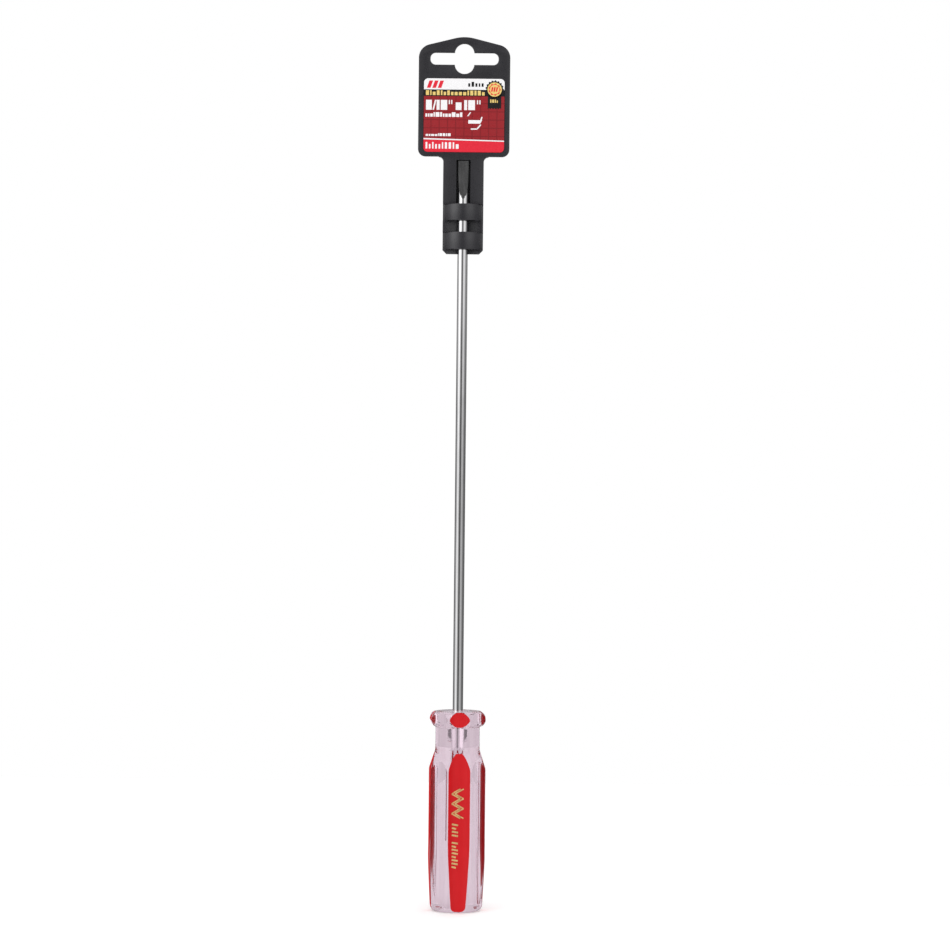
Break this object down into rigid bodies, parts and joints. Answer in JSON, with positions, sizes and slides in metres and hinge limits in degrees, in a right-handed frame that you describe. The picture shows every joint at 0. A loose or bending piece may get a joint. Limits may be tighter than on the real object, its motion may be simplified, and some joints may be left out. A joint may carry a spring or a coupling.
{
  "type": "slotted screwdriver",
  "caption": "Long slotted cabinet screwdriver with a clear, red-striped plastic handle and a chromed round blade, its tip held in a black hang-up tag.",
  "frame": {"origin": "centre of the flat butt of the handle, which the tool stands on", "axes": "+Z along the blade from the butt to the tip, -Y towards the printed front of the hanger, +X to the right as that front is read"},
  "size_m": [0.0422, 0.0261, 0.403],
  "materials": {
    "clear_acetate": "clear, polished",
    "chrome_steel": "bright chrome plate",
    "red_paint": "smooth semi-gloss lacquer",
    "gold_foil": "hot-stamped foil",
    "black_plastic": "moulded, semi-matte",
    "printed_label": "printed film"
  },
  "bodies": {
    "driver": {"handle_body": "clear_acetate", "blade": "chrome_steel", "flute_paint_front": "red_paint", "flute_paint_right": "red_paint", "flute_paint_left": "red_paint", "collar_paint_front": "red_paint", "collar_paint_right": "red_paint", "collar_paint_left": "red_paint", "foil_mark_upper": "gold_foil", "foil_mark_middle": "gold_foil", "foil_mark_lower": "gold_foil"},
    "hanger": {"hanger_body": "black_plastic", "hanger_label": "printed_label"}
  },
  "joints": [
    {"name": "hanger_slide", "type": "slide", "parent": "driver", "child": "hanger", "axis": [0, 0, 1], "range_m": [0, 0.06]}
  ]
}
